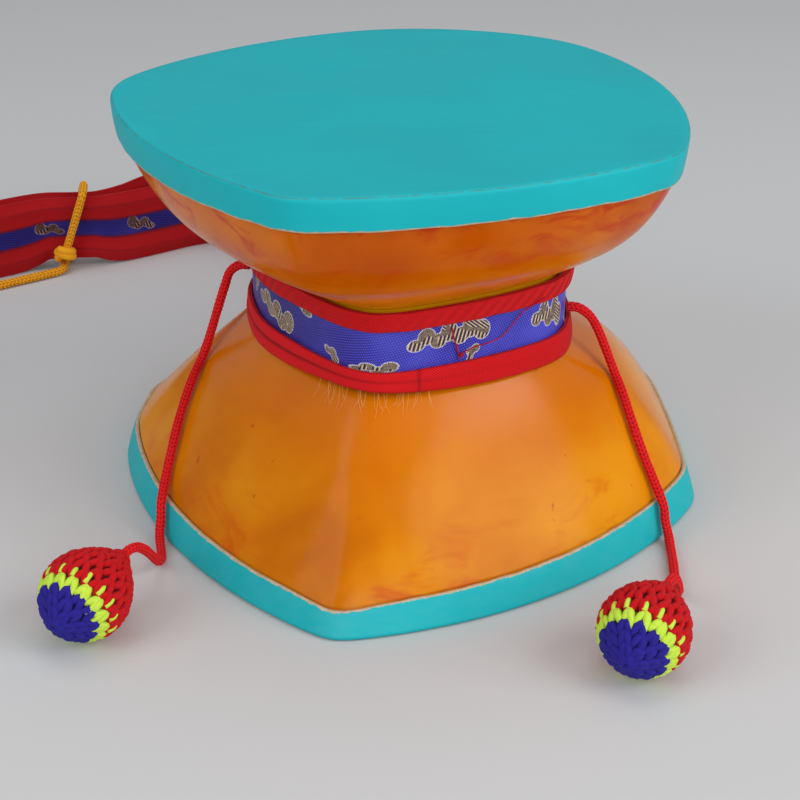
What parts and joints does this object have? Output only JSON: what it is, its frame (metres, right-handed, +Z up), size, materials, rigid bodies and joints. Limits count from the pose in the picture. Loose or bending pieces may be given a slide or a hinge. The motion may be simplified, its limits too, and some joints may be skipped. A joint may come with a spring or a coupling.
{
  "type": "hand drum",
  "caption": "Skull-cap hand drum: hollow amber bowls joined crown to crown, painted skins, brocade waist band, corded crochet beaters and a folded hand strap.",
  "frame": {"origin": "centre of the lower drumhead's underside", "axes": "+Z up along the drum's axis, -Y toward the front corner, +X to the right seen from the front"},
  "size_m": [0.2362, 0.2846, 0.0999],
  "materials": {
    "amber_resin": "glossy translucent amber with darker flecks",
    "teal_skin": "painted, satin, worn at the edges",
    "blue_brocade": "woven with metallic floral figures",
    "red_twill": "ribbed twill tape",
    "red_cord": "round braid",
    "crochet": "crocheted yarn in red, yellow-green and dark blue",
    "yellow_cord": "round braid"
  },
  "bodies": {
    "root": {"shell_lower": "amber_resin", "shell_upper": "amber_resin", "drumhead_lower": "teal_skin", "drumhead_upper": "teal_skin", "waist_band": "blue_brocade", "waist_binding_lower": "red_twill", "waist_binding_upper": "red_twill", "cord_left": "red_cord", "cord_right": "red_cord", "beater_left": "crochet", "beater_right": "crochet", "hand_strap": "blue_brocade", "strap_tie": "yellow_cord"}
  },
  "joints": []
}
